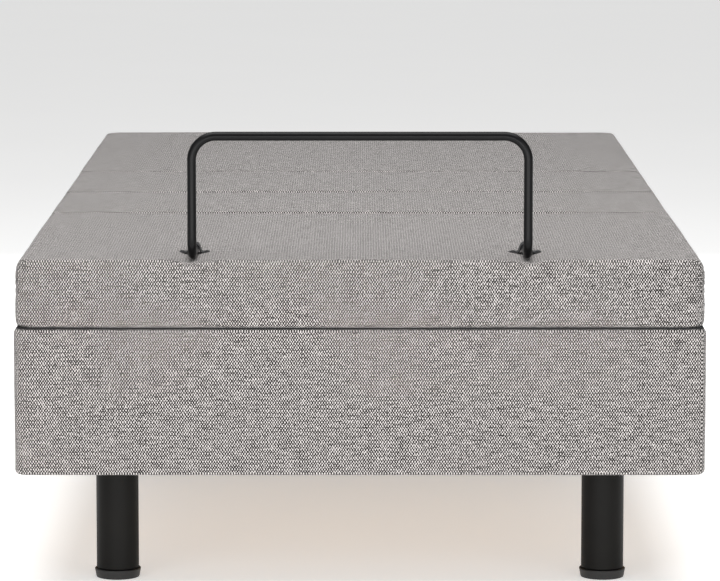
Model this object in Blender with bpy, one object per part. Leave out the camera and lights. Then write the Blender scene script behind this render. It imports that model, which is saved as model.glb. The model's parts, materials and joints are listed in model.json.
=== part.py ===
# Adjustable bed base: an upholstered box on six legs that carries a folding upholstered deck.
# Metres, +Z up.  The foot end is at -Y, the head end at +Y, and the origin is on the floor.
import math

import bmesh
import bpy
from mathutils import Matrix, Vector

# Overall sizes
LENGTH = 2.020
WIDTH = 0.950
LEG_HEIGHT = 0.159
BOX_HEIGHT = 0.202
SHADOW_GAP = 0.002
DECK_HEIGHT = 0.094
DECK_INSET = 0.0025

# Fits
FIT = 0.0003
RUNNING_FIT = 0.0005
SIDE_PLAY = 0.002

# Box
COVER_THICKNESS = 0.010
COVER_CORNER = 0.009
RAIL_THICKNESS = 0.018
RAIL_EDGE_STEP = 0.002

# Legs
LEG_RADIUS = 0.0295
LEG_SIDE_INSET = 0.1365
LEG_END_INSET = 0.100
GLIDE_TOP_RADIUS = 0.0325
GLIDE_FOOT_RADIUS = 0.0305
GLIDE_HEIGHT = 0.013
GLIDE_EDGE = 0.0015
STUD_RADIUS = 0.005
STUD_LENGTH = 0.020

# Steel cross members
LEG_MEMBER_DEPTH = 0.060
LEG_MEMBER_HEIGHT = 0.030
MOTOR_MEMBER_DEPTH = 0.040
MOTOR_MEMBER_HEIGHT = 0.030
MEMBER_WALL = 0.003

# Deck sections, by the place of each fold along the bed
BACK_FOLD = 0.250
THIGH_FOLD = -0.080
KNEE_FOLD = -0.390
FOLD_HALF_GAP = 0.006
PAD_CORNER = 0.012
PAD_WRAP = 0.022
BOARD_THICKNESS = 0.018

# Hinges
TOP_AXIS_DEPTH = 0.008
KNEE_AXIS_RISE = 0.008
KNUCKLE_RADIUS = 0.0035
HINGE_PIN_RADIUS = 0.0016
HINGE_LEAF = 0.002
HINGE_WIDTH = 0.860
HINGE_WEB = 0.0015
KNUCKLE_COUNT = 5

# Lift motions
BACK_LIFT = math.radians(60.0)
THIGH_LIFT = math.radians(35.0)
BACK_PIN_DROP = 0.03957
THIGH_PIN_DROP = 0.04203
BACK_CRANK_ANGLE = math.radians(-105.0)
THIGH_CRANK_ANGLE = math.radians(-100.0)
MOTOR_PIVOT_DROP = 0.086
BACK_MOTOR_PIVOT = -0.125
THIGH_MOTOR_PIVOT = 0.255
BACK_TRAVEL_PER_CRANK = 1.0023
BACK_MOTOR_TILT = math.radians(0.575)
THIGH_TRAVEL_PER_CRANK = 0.6008
THIGH_MOTOR_TILT = math.radians(-0.727)
MOTOR_SIDE = 0.110

# Lift brackets
BRACKET_THICKNESS = 0.008
BRACKET_WALL = 0.007
BRACKET_FOOT_LENGTH = 0.060
BRACKET_FOOT_WIDTH = 0.050
BRACKET_FOOT_THICKNESS = 0.004
PATH_STEPS = 8

# Linear actuators, measured along the rod from the rear pivot
MOTOR_PIN_RADIUS = 0.006
EYE_RADIUS = 0.014
EYE_WIDTH = 0.016
CLEVIS_WALL = 0.005
CLEVIS_RADIUS = 0.013
HOUSING_START = 0.022
HOUSING_LENGTH = 0.090
HOUSING_WIDTH = 0.056
HOUSING_HEIGHT = 0.068
HOUSING_EDGE = 0.006
MOTOR_CAN_RADIUS = 0.026
MOTOR_CAN_LENGTH = 0.120
MOTOR_CAN_OFFSET = 0.050
SLEEVE_RADIUS = 0.018
ROD_RADIUS = 0.010
ROD_START_GAP = 0.006
BACK_SLEEVE_LENGTH = 0.135
THIGH_SLEEVE_LENGTH = 0.120
FORK_LENGTH = 0.058
FORK_NOSE = 0.012
FORK_HEIGHT = 0.024
FORK_CHEEK = 0.006
FORK_ROOT = 0.008

# Retainer bar
BAR_ROD_RADIUS = 0.0062
BAR_OUTER_WIDTH = 0.472
BAR_RISE = 0.173
BAR_BEND = 0.033
BAR_FOOT_BEND = 0.024
BAR_END_INSET = 0.022
BAR_FOOT_LENGTH = 0.130
STRAP_THICKNESS = 0.002
STRAP_WIDTH = 0.026
STRAP_WING = 0.016
STRAP_ARCH_STEPS = 12

# Electrics
CONTROL_BOX = (0.042, 0.180, 0.086)
CONTROL_BOX_START = 0.450
POWER_SUPPLY = (0.046, 0.160, 0.070)
POWER_SUPPLY_START = 0.720
ELECTRICS_RISE = 0.063
ELECTRICS_EDGE = 0.005
INLET_SIZE = (0.020, 0.012, 0.026)
LEAD_RADIUS = 0.003
LEAD_BEND = 0.018
LEAD_STANDOFF = 0.006
LEAD_END_GAP = 0.0015

# Heights and edges that follow from the sizes above
BOX_TOP = LEG_HEIGHT + BOX_HEIGHT
DECK_BOTTOM = BOX_TOP + SHADOW_GAP
DECK_TOP = DECK_BOTTOM + DECK_HEIGHT
BOARD_BOTTOM = DECK_BOTTOM + FIT
MOTOR_PIVOT_HEIGHT = DECK_BOTTOM - MOTOR_PIVOT_DROP
ELECTRICS_HEIGHT = LEG_HEIGHT + ELECTRICS_RISE
FOOT_END = -LENGTH / 2
HEAD_END = LENGTH / 2
SIDE = WIDTH / 2
DECK_SIDE = SIDE - DECK_INSET
DECK_FOOT = FOOT_END + DECK_INSET
DECK_HEAD = HEAD_END - DECK_INSET
RAIL_OUTER_X = SIDE - COVER_THICKNESS - FIT
RAIL_INNER_X = RAIL_OUTER_X - RAIL_THICKNESS
RAIL_OUTER_Y = HEAD_END - COVER_THICKNESS - FIT
RAIL_INNER_Y = RAIL_OUTER_Y - RAIL_THICKNESS
RAIL_BOTTOM = LEG_HEIGHT + RAIL_EDGE_STEP
RAIL_TOP = BOX_TOP - RAIL_EDGE_STEP
LEG_X = SIDE - LEG_SIDE_INSET
LEG_Y = HEAD_END - LEG_END_INSET
TOP_AXIS_HEIGHT = DECK_TOP - TOP_AXIS_DEPTH
KNEE_AXIS_HEIGHT = DECK_BOTTOM + KNEE_AXIS_RISE
MEMBER_HALF_SPAN = RAIL_INNER_X - FIT
BACK_AXIS = Vector((0, BACK_FOLD, TOP_AXIS_HEIGHT))
THIGH_AXIS = Vector((0, THIGH_FOLD, TOP_AXIS_HEIGHT))
KNEE_AXIS = Vector((0, KNEE_FOLD, KNEE_AXIS_HEIGHT))
STRAIGHT = Vector((0, 0, 0))
AXIS_ABOVE_BOTTOM = DECK_HEIGHT - TOP_AXIS_DEPTH
BACK_CRANK = (AXIS_ABOVE_BOTTOM + BACK_PIN_DROP) / abs(math.sin(BACK_CRANK_ANGLE))
THIGH_CRANK = (AXIS_ABOVE_BOTTOM + THIGH_PIN_DROP) / abs(math.sin(THIGH_CRANK_ANGLE))
BACK_ROD_TRAVEL = BACK_CRANK * BACK_TRAVEL_PER_CRANK
THIGH_ROD_TRAVEL = THIGH_CRANK * THIGH_TRAVEL_PER_CRANK

MATERIALS = {}


def linear(value):
    if value <= 0.04045:
        return value / 12.92
    return ((value + 0.055) / 1.055) ** 2.4


def material(name, colour, roughness, metallic=0.0):
    made = bpy.data.materials.new(name)
    made.use_nodes = True
    shader = made.node_tree.nodes["Principled BSDF"]
    red, green, blue = (linear(part / 255) for part in colour)
    shader.inputs["Base Color"].default_value = (red, green, blue, 1)
    shader.inputs["Roughness"].default_value = roughness
    shader.inputs["Metallic"].default_value = metallic
    made.diffuse_color = (red, green, blue, 1)
    MATERIALS[name] = made


def make_materials():
    material("upholstery_fabric", (154, 150, 146), 0.9)
    material("deck_wood", (186, 158, 120), 0.6)
    material("leg_black", (43, 42, 40), 0.4)
    material("glide_plastic", (30, 30, 30), 0.5)
    material("steel_painted", (40, 40, 42), 0.45)
    material("steel_zinc", (176, 178, 180), 0.3, 1.0)
    material("bar_gloss_black", (24, 24, 25), 0.2)
    material("motor_plastic", (34, 34, 36), 0.5)
    material("rod_steel", (190, 190, 192), 0.2, 1.0)
    material("electric_plastic", (28, 28, 30), 0.55)
    material("lead_rubber", (22, 22, 22), 0.6)


def clear_scene():
    for item in list(bpy.data.objects):
        bpy.data.objects.remove(item)


def place(name, mesh_builder, slot, origin=STRAIGHT, smooth=True):
    """Make one object from a mesh given in bed coordinates, with its origin at the given point."""
    bmesh.ops.translate(mesh_builder, verts=mesh_builder.verts, vec=-Vector(origin))
    bmesh.ops.recalc_face_normals(mesh_builder, faces=mesh_builder.faces)
    mesh = bpy.data.meshes.new(name)
    mesh_builder.to_mesh(mesh)
    mesh_builder.free()
    made = bpy.data.objects.new(name, mesh)
    made.location = origin
    bpy.context.scene.collection.objects.link(made)
    if slot:
        mesh.materials.append(MATERIALS[slot])
    if smooth:
        mesh.shade_smooth()
        mesh.set_sharp_from_angle(angle=math.radians(30))
    return made


def join(base, name, mesh_builder, operation, origin=STRAIGHT):
    """Add a shape to an object or take it away."""
    tool = place(name, mesh_builder, None, origin)
    tool.hide_render = True
    tool.display_type = "WIRE"
    step = base.modifiers.new(name, "BOOLEAN")
    step.operation = operation
    step.object = tool
    step.solver = "EXACT"


def block(low, high, edge=0.0, steps=2):
    """A block between two corners, with rounded edges if asked."""
    built = bmesh.new()
    low = Vector(low)
    high = Vector(high)
    size = high - low
    bmesh.ops.create_cube(built, size=1.0)
    bmesh.ops.scale(built, vec=size, verts=built.verts)
    bmesh.ops.translate(built, vec=(low + high) / 2, verts=built.verts)
    if edge:
        bmesh.ops.bevel(built, geom=list(built.edges), offset=edge, segments=steps,
                        profile=0.5, affect="EDGES")
    return built


def edge_runs_low(edge, low):
    return all(abs(vert.co.z - low) < FIT for vert in edge.verts)


def pad_block(low, high, edge, steps=4):
    """An upholstered block, rounded everywhere but round its lower edge."""
    built = block(low, high)
    rounded = [item for item in built.edges if not edge_runs_low(item, low[2])]
    bmesh.ops.bevel(built, geom=rounded, offset=edge, segments=steps, profile=0.5,
                    affect="EDGES")
    return built


def prism(outline, low, high, axis="X"):
    """A flat outline of (across, up) points pulled out along one axis."""
    built = bmesh.new()
    near = []
    for across, up in outline:
        point = (low, across, up) if axis == "X" else (across, low, up)
        near.append(built.verts.new(point))
    face = built.faces.new(near)
    step = Vector((high - low, 0, 0)) if axis == "X" else Vector((0, high - low, 0))
    pulled = bmesh.ops.extrude_face_region(built, geom=[face])
    moved = [item for item in pulled["geom"] if isinstance(item, bmesh.types.BMVert)]
    bmesh.ops.translate(built, verts=moved, vec=step)
    return built


def round_bar(start, end, radius, end_radius=None, sides=32):
    """A round bar between two points; it may taper."""
    start = Vector(start)
    end = Vector(end)
    along = end - start
    built = bmesh.new()
    bmesh.ops.create_cone(built, cap_ends=True, segments=sides, radius1=radius,
                          radius2=end_radius or radius, depth=along.length)
    turn = Vector((0, 0, 1)).rotation_difference(along.normalized()).to_matrix().to_4x4()
    bmesh.ops.transform(built, matrix=Matrix.Translation((start + end) / 2) @ turn,
                        verts=built.verts)
    return built


def softened_route(points, bend, steps):
    """The points of a route with its corners turned into arcs."""
    points = [Vector(point) for point in points]
    route = [points[0]]
    for before, corner, after in zip(points, points[1:], points[2:]):
        back = (before - corner).normalized()
        ahead = (after - corner).normalized()
        half = back.angle(ahead) / 2
        reach = bend / math.tan(half)
        middle = corner + (back + ahead).normalized() * bend / math.sin(half)
        first = (corner + back * reach - middle).normalized()
        last = (corner + ahead * reach - middle).normalized()
        for index in range(steps + 1):
            share = index / steps
            route.append(middle + first.slerp(last, share) * bend)
    route.append(points[-1])
    return route


def swept_bar(points, radius, bend, steps=6, sides=16):
    """A round bar or lead along a route with rounded corners."""
    return swept_route(softened_route(points, bend, steps), radius, sides)


def swept_route(route, radius, sides):
    """A round bar along a smooth route."""
    built = bmesh.new()
    ahead = (route[1] - route[0]).normalized()
    across = ahead.orthogonal().normalized()
    rings = []
    for index, point in enumerate(route):
        before = route[max(index - 1, 0)]
        after = route[min(index + 1, len(route) - 1)]
        new_ahead = (after - before).normalized()
        across = ahead.rotation_difference(new_ahead) @ across
        ahead = new_ahead
        other = ahead.cross(across)
        ring = []
        for side in range(sides):
            turn = 2 * math.pi * side / sides
            offset = across * math.cos(turn) + other * math.sin(turn)
            ring.append(built.verts.new(point + offset * radius))
        rings.append(ring)
    for ring, following in zip(rings, rings[1:]):
        for side in range(sides):
            beside = (side + 1) % sides
            built.faces.new((ring[side], ring[beside], following[beside], following[side]))
    built.faces.new(rings[0])
    built.faces.new(rings[-1])
    return built


def hull_outline(points):
    """The convex outline round flat points, in order."""
    ordered = sorted(set(points))

    def chain(run):
        kept = []
        for point in run:
            while len(kept) > 1 and turn_of(kept[-2], kept[-1], point) <= 0:
                kept.pop()
            kept.append(point)
        return kept[:-1]

    return chain(ordered) + chain(ordered[::-1])


def turn_of(first, second, third):
    return ((second[0] - first[0]) * (third[1] - first[1])
            - (second[1] - first[1]) * (third[0] - first[0]))


def circle_points(centre, radius, sides=24):
    return [(centre[0] + radius * math.cos(2 * math.pi * index / sides),
             centre[1] + radius * math.sin(2 * math.pi * index / sides))
            for index in range(sides)]


def make_rails():
    cores = {
        "rail_core_left": ((-RAIL_OUTER_X, -RAIL_OUTER_Y), (-RAIL_INNER_X, RAIL_OUTER_Y)),
        "rail_core_right": ((RAIL_INNER_X, -RAIL_OUTER_Y), (RAIL_OUTER_X, RAIL_OUTER_Y)),
        "rail_core_foot": ((FIT - RAIL_INNER_X, -RAIL_OUTER_Y), (RAIL_INNER_X - FIT, -RAIL_INNER_Y)),
        "rail_core_head": ((FIT - RAIL_INNER_X, RAIL_INNER_Y), (RAIL_INNER_X - FIT, RAIL_OUTER_Y)),
    }
    for name, (low, high) in cores.items():
        place(name, block((*low, RAIL_BOTTOM), (*high, RAIL_TOP)), "deck_wood", smooth=False)


def make_covers():
    inner_y = HEAD_END - COVER_THICKNESS
    inner_x = SIDE - COVER_THICKNESS
    covers = {
        "box_cover_left": ((-SIDE, -inner_y + FIT), (-inner_x, inner_y - FIT)),
        "box_cover_right": ((inner_x, -inner_y + FIT), (SIDE, inner_y - FIT)),
    }
    for name, (low, high) in covers.items():
        place(name, block((*low, LEG_HEIGHT), (*high, BOX_TOP)), "upholstery_fabric")
    for name, near, far in (("box_cover_foot", FOOT_END, -inner_y), ("box_cover_head", inner_y, HEAD_END)):
        shape = block((-SIDE, near, LEG_HEIGHT), (SIDE, far, BOX_TOP))
        outer = near if near == FOOT_END else far
        corner = [item for item in shape.edges
                  if all(abs(vert.co.y - outer) < FIT for vert in item.verts)
                  and abs(item.verts[0].co.z - item.verts[1].co.z) > FIT]
        bmesh.ops.bevel(shape, geom=corner, offset=COVER_CORNER, segments=4, profile=0.5,
                        affect="EDGES")
        place(name, shape, "upholstery_fabric")


def make_leg_member(name, middle):
    """A square tube across the box with a hole for the stud of each leg."""
    low = LEG_HEIGHT + FIT
    high = low + LEG_MEMBER_HEIGHT
    near = middle - LEG_MEMBER_DEPTH / 2
    far = middle + LEG_MEMBER_DEPTH / 2
    member = place(name, block((-MEMBER_HALF_SPAN, near, low), (MEMBER_HALF_SPAN, far, high)),
                   "steel_painted", smooth=False)
    hollow = block((-SIDE, near + MEMBER_WALL, low + MEMBER_WALL),
                   (SIDE, far - MEMBER_WALL, high - MEMBER_WALL))
    join(member, name + "_hollow", hollow, "DIFFERENCE")
    for side, across in (("left", -LEG_X), ("right", LEG_X)):
        hole = round_bar((across, middle, LEG_HEIGHT - MEMBER_WALL),
                         (across, middle, low + 2 * MEMBER_WALL), STUD_RADIUS + FIT, sides=12)
        join(member, name + "_hole_" + side, hole, "DIFFERENCE")


def make_leg(name, across, along):
    """A round leg with its threaded stud, standing on a tapered glide."""
    foot = GLIDE_HEIGHT + FIT
    leg = place(name, round_bar((across, along, foot), (across, along, LEG_HEIGHT), LEG_RADIUS),
                "leg_black")
    stud = round_bar((across, along, LEG_HEIGHT - STUD_RADIUS),
                     (across, along, LEG_HEIGHT + STUD_LENGTH), STUD_RADIUS, sides=12)
    join(leg, name + "_stud", stud, "UNION")
    glide = round_bar((across, along, 0), (across, along, GLIDE_HEIGHT), GLIDE_FOOT_RADIUS,
                      GLIDE_TOP_RADIUS)
    rims = [item for item in glide.edges if not item.is_boundary and item.calc_face_angle(0) > 1.0]
    bmesh.ops.bevel(glide, geom=rims, offset=GLIDE_EDGE, segments=1, profile=0.5, affect="EDGES")
    place(name.replace("leg", "glide"), glide, "glide_plastic")


def make_support():
    for place_name, along in (("foot", -LEG_Y), ("middle", 0.0), ("head", LEG_Y)):
        make_leg_member("leg_member_" + place_name, along)
        make_leg("leg_" + place_name + "_left", -LEG_X, along)
        make_leg("leg_" + place_name + "_right", LEG_X, along)


def make_section(name, foot_end, head_end, origin):
    """A deck section: a foam pad covered in fabric, with a board let into its underside."""
    pad = place(name + "_pad", pad_block((-DECK_SIDE, foot_end, DECK_BOTTOM),
                                         (DECK_SIDE, head_end, DECK_TOP), PAD_CORNER),
                "upholstery_fabric", origin)
    side = DECK_SIDE - PAD_WRAP
    recess = block((-side, foot_end + PAD_WRAP, DECK_BOTTOM - BOARD_THICKNESS),
                   (side, head_end - PAD_WRAP, BOARD_BOTTOM + BOARD_THICKNESS + FIT))
    join(pad, name + "_recess", recess, "DIFFERENCE", origin)
    board = block((FIT - side, foot_end + PAD_WRAP + FIT, BOARD_BOTTOM),
                  (side - FIT, head_end - PAD_WRAP - FIT, BOARD_BOTTOM + BOARD_THICKNESS))
    place(name + "_board", board, "deck_wood", origin, smooth=False)


def make_deck():
    make_section("back", BACK_FOLD + FOLD_HALF_GAP, DECK_HEAD, BACK_AXIS)
    make_section("seat", THIGH_FOLD + FOLD_HALF_GAP, BACK_FOLD - FOLD_HALF_GAP, STRAIGHT)
    make_section("thigh", KNEE_FOLD + FOLD_HALF_GAP, THIGH_FOLD - FOLD_HALF_GAP, THIGH_AXIS)
    make_section("calf", DECK_FOOT, KNEE_FOLD - FOLD_HALF_GAP, KNEE_AXIS)


def make_hinge_leaf(name, axis, side, keeps_pin, origin):
    """One leaf of a full-width hinge; the two leaves take turns along the hinge line."""
    leaf_far = side * (FOLD_HALF_GAP - FIT)
    leaf_near = leaf_far - side * HINGE_LEAF
    low = DECK_BOTTOM + FIT if axis.z > KNEE_AXIS_HEIGHT else axis.z
    high = axis.z if axis.z > KNEE_AXIS_HEIGHT else DECK_TOP - PAD_CORNER
    edges = sorted((axis.y + leaf_near, axis.y + leaf_far))
    leaf = place(name, block((-HINGE_WIDTH / 2, edges[0], low), (HINGE_WIDTH / 2, edges[1], high)),
                 "steel_zinc", origin)
    pitch = HINGE_WIDTH / KNUCKLE_COUNT
    middle = Vector((0, axis.y, axis.z))
    web = sorted((axis.y, axis.y + leaf_far - side * HINGE_LEAF / 2))
    for turn in range(KNUCKLE_COUNT):
        if (turn % 2 == 0) != keeps_pin:
            continue
        start = -HINGE_WIDTH / 2 + turn * pitch + RUNNING_FIT
        end = start + pitch - 2 * RUNNING_FIT
        knuckle = round_bar(middle + Vector((start, 0, 0)), middle + Vector((end, 0, 0)),
                            KNUCKLE_RADIUS, sides=12)
        join(leaf, f"{name}_knuckle_{turn}", knuckle, "UNION", origin)
        web_low = axis.z - HINGE_WEB if axis.z > KNEE_AXIS_HEIGHT else axis.z - HINGE_WEB / 2
        web_block = block((start, web[0], web_low), (end, web[1], web_low + HINGE_WEB))
        join(leaf, f"{name}_web_{turn}", web_block, "UNION", origin)
    reach = HINGE_WIDTH / 2 - 2 * RUNNING_FIT
    radius = HINGE_PIN_RADIUS if keeps_pin else HINGE_PIN_RADIUS + FIT
    core = round_bar(middle - Vector((reach, 0, 0)), middle + Vector((reach, 0, 0)), radius, sides=8)
    join(leaf, name + ("_pin" if keeps_pin else "_bore"), core,
         "UNION" if keeps_pin else "DIFFERENCE", origin)


def make_hinges():
    make_hinge_leaf("back_hinge_leaf_seat", BACK_AXIS, -1, True, STRAIGHT)
    make_hinge_leaf("back_hinge_leaf_back", BACK_AXIS, 1, False, BACK_AXIS)
    make_hinge_leaf("thigh_hinge_leaf_seat", THIGH_AXIS, 1, True, STRAIGHT)
    make_hinge_leaf("thigh_hinge_leaf_thigh", THIGH_AXIS, -1, False, THIGH_AXIS)
    make_hinge_leaf("knee_hinge_leaf_thigh", KNEE_AXIS, 1, True, THIGH_AXIS)
    make_hinge_leaf("knee_hinge_leaf_calf", KNEE_AXIS, -1, False, KNEE_AXIS)


class Lift:
    """One lift: a section's axis, the way it faces, its crank pin, and its motor's pivot."""

    def __init__(self, name, axis, facing, crank, crank_angle, turn, pivot_along, tilt, travel,
                 across, sleeve):
        self.name = name
        self.axis = axis
        self.facing = facing
        self.turn = turn
        self.tilt = tilt
        self.travel = travel
        self.across = across
        self.sleeve = sleeve
        self.pivot = (facing * (pivot_along - axis.y), MOTOR_PIVOT_HEIGHT - axis.z)
        self.pin = (crank * math.cos(crank_angle), crank * math.sin(crank_angle))
        run = (self.pin[0] - self.pivot[0], self.pin[1] - self.pivot[1])
        self.length = math.hypot(*run)
        self.slope = math.atan2(run[1], run[0])

    def in_bed(self, along, up):
        """A point of the lift's own plane, in bed coordinates."""
        return Vector((self.across, self.axis.y + self.facing * along, self.axis.z + up))

    def on_rod(self, along, across=0.0, rise=0.0):
        """A point measured from the motor's pivot along the rod, beside it and above it."""
        ahead = (math.cos(self.slope), math.sin(self.slope))
        point = self.in_bed(self.pivot[0] + ahead[0] * along - ahead[1] * rise,
                            self.pivot[1] + ahead[1] * along + ahead[0] * rise)
        point.x += across
        return point

    def rod_block(self, low, high, edge=0.0):
        """A block in rod measure: (along, across, rise) corners."""
        built = block(low, high, edge)
        for vert in built.verts:
            vert.co = self.on_rod(vert.co.x, vert.co.y, vert.co.z)
        return built

    def pin_path(self):
        """Where the rod's pin runs in the section's bracket over the whole lift."""
        path = []
        for step in range(PATH_STEPS + 1):
            share = step / PATH_STEPS
            reach = self.length + self.travel * share
            slope = self.slope + self.tilt * share
            along = self.pivot[0] + reach * math.cos(slope)
            up = self.pivot[1] + reach * math.sin(slope)
            back = -self.turn * share
            path.append((along * math.cos(back) - up * math.sin(back),
                         along * math.sin(back) + up * math.cos(back)))
        return path


def bed_outline(lift, points):
    return [(lift.axis.y + lift.facing * along, lift.axis.z + up) for along, up in points]


def make_bracket(lift):
    """The lift bracket under a section, slotted so that the pin has the room it needs."""
    path = lift.pin_path()
    slot = []
    outer = []
    for point in path:
        slot += circle_points(point, MOTOR_PIN_RADIUS + RUNNING_FIT)
        outer += circle_points(point, MOTOR_PIN_RADIUS + RUNNING_FIT + BRACKET_WALL)
    foot_top = DECK_BOTTOM - FIT - lift.axis.z
    foot_low = foot_top - BRACKET_FOOT_THICKNESS
    foot_start = FOLD_HALF_GAP + PAD_WRAP + 2 * FIT
    foot_end = foot_start + BRACKET_FOOT_LENGTH
    outer += [(foot_start, foot_low + FIT), (foot_end, foot_low + FIT)]
    name = lift.name + "_lift_bracket"
    near = lift.across - BRACKET_THICKNESS / 2
    plate = prism(bed_outline(lift, hull_outline(outer)), near, near + BRACKET_THICKNESS)
    bracket = place(name, plate, "steel_painted", lift.axis)
    foot_ends = sorted((lift.axis.y + lift.facing * foot_start, lift.axis.y + lift.facing * foot_end))
    foot = block((lift.across - BRACKET_FOOT_WIDTH / 2, foot_ends[0], lift.axis.z + foot_low),
                 (lift.across + BRACKET_FOOT_WIDTH / 2, foot_ends[1], lift.axis.z + foot_top))
    join(bracket, name + "_foot", foot, "UNION", lift.axis)
    opening = prism(bed_outline(lift, hull_outline(slot)), near - SIDE_PLAY,
                    near + BRACKET_THICKNESS + SIDE_PLAY)
    join(bracket, name + "_slot", opening, "DIFFERENCE", lift.axis)


def make_motor(lift):
    """The motor and gearbox housing with the eye it swings on."""
    pivot = lift.on_rod(0)
    name = lift.name + "_motor_housing"
    half = EYE_WIDTH / 2
    eye = place(name, round_bar(pivot - Vector((half, 0, 0)), pivot + Vector((half, 0, 0)), EYE_RADIUS),
                "motor_plastic", pivot)
    neck = lift.rod_block((0, -half, -EYE_RADIUS / 2), (HOUSING_START + HOUSING_EDGE, half, EYE_RADIUS / 2))
    join(eye, name + "_neck", neck, "UNION", pivot)
    end = HOUSING_START + HOUSING_LENGTH
    case = lift.rod_block((HOUSING_START, -HOUSING_WIDTH / 2, -HOUSING_HEIGHT / 2),
                          (end, HOUSING_WIDTH / 2, HOUSING_HEIGHT / 2), HOUSING_EDGE)
    join(eye, name + "_case", case, "UNION", pivot)
    can_start = HOUSING_START + HOUSING_EDGE
    can = round_bar(lift.on_rod(can_start, MOTOR_CAN_OFFSET),
                    lift.on_rod(can_start + MOTOR_CAN_LENGTH, MOTOR_CAN_OFFSET), MOTOR_CAN_RADIUS)
    join(eye, name + "_can", can, "UNION", pivot)
    bore = round_bar(pivot - Vector((EYE_WIDTH, 0, 0)), pivot + Vector((EYE_WIDTH, 0, 0)),
                     MOTOR_PIN_RADIUS + RUNNING_FIT)
    join(eye, name + "_bore", bore, "DIFFERENCE", pivot)
    sleeve_start = end + FIT
    sleeve_name = lift.name + "_actuator_tube"
    sleeve = place(sleeve_name, round_bar(lift.on_rod(sleeve_start),
                                          lift.on_rod(sleeve_start + lift.sleeve), SLEEVE_RADIUS),
                   "steel_painted", pivot)
    hollow = round_bar(lift.on_rod(sleeve_start + SLEEVE_RADIUS / 3), lift.on_rod(lift.length),
                       ROD_RADIUS + RUNNING_FIT)
    join(sleeve, sleeve_name + "_hollow", hollow, "DIFFERENCE", pivot)


def make_rod(lift):
    """The sliding rod with its fork and the pin that works in the bracket's slot."""
    pivot = lift.on_rod(0)
    name = lift.name + "_actuator_rod"
    start = HOUSING_START + HOUSING_LENGTH + SLEEVE_RADIUS / 3 + ROD_START_GAP
    root = lift.length - FORK_LENGTH
    rod = place(name, round_bar(lift.on_rod(start), lift.on_rod(root + FORK_ROOT / 2), ROD_RADIUS),
                "rod_steel", pivot)
    half = BRACKET_THICKNESS / 2 + SIDE_PLAY + FORK_CHEEK
    fork = lift.rod_block((root, -half, -FORK_HEIGHT / 2),
                          (lift.length + FORK_NOSE, half, FORK_HEIGHT / 2))
    join(rod, name + "_fork", fork, "UNION", pivot)
    inside = BRACKET_THICKNESS / 2 + SIDE_PLAY
    gap = lift.rod_block((root + FORK_ROOT, -inside, -FORK_HEIGHT),
                         (lift.length + 2 * FORK_NOSE, inside, FORK_HEIGHT))
    join(rod, name + "_gap", gap, "DIFFERENCE", pivot)
    centre = lift.on_rod(lift.length)
    reach = Vector((half + MEMBER_WALL, 0, 0))
    join(rod, name + "_pin", round_bar(centre - reach, centre + reach, MOTOR_PIN_RADIUS), "UNION", pivot)


def make_motor_member(lift):
    """The cross tube that carries a motor, with the two clevis plates and pin on it."""
    pivot = lift.on_rod(0)
    name = lift.name + "_motor_member"
    high = pivot.z - HOUSING_HEIGHT / 2 - ELECTRICS_EDGE
    low = high - MOTOR_MEMBER_HEIGHT
    near = pivot.y - MOTOR_MEMBER_DEPTH / 2
    far = pivot.y + MOTOR_MEMBER_DEPTH / 2
    member = place(name, block((-MEMBER_HALF_SPAN, near, low), (MEMBER_HALF_SPAN, far, high)),
                   "steel_painted")
    for side, way in (("inner", -1), ("outer", 1)):
        face = pivot.x + way * (EYE_WIDTH / 2 + SIDE_PLAY)
        edges = sorted((face, face + way * CLEVIS_WALL))
        outline = circle_points((pivot.y, pivot.z), CLEVIS_RADIUS)
        outline += [(pivot.y - CLEVIS_RADIUS, high - MEMBER_WALL / 2),
                    (pivot.y + CLEVIS_RADIUS, high - MEMBER_WALL / 2)]
        join(member, f"{name}_plate_{side}", prism(hull_outline(outline), *edges), "UNION")
    reach = Vector((EYE_WIDTH / 2 + SIDE_PLAY + CLEVIS_WALL + MEMBER_WALL, 0, 0))
    join(member, name + "_pin", round_bar(pivot - reach, pivot + reach, MOTOR_PIN_RADIUS), "UNION")
    hollow = block((-SIDE, near + MEMBER_WALL, low + MEMBER_WALL),
                   (SIDE, far - MEMBER_WALL, high - MEMBER_WALL))
    join(member, name + "_hollow", hollow, "DIFFERENCE")
    return high


def make_lifts():
    lifts = [
        Lift("back", BACK_AXIS, 1, BACK_CRANK, BACK_CRANK_ANGLE, BACK_LIFT, BACK_MOTOR_PIVOT,
             BACK_MOTOR_TILT, BACK_ROD_TRAVEL, MOTOR_SIDE, BACK_SLEEVE_LENGTH),
        Lift("thigh", THIGH_AXIS, -1, THIGH_CRANK, THIGH_CRANK_ANGLE, THIGH_LIFT, THIGH_MOTOR_PIVOT,
             THIGH_MOTOR_TILT, THIGH_ROD_TRAVEL, -MOTOR_SIDE, THIGH_SLEEVE_LENGTH),
    ]
    for lift in lifts:
        make_bracket(lift)
        make_motor(lift)
        make_rod(lift)
        member_top = make_motor_member(lift)
    return lifts, member_top


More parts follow.
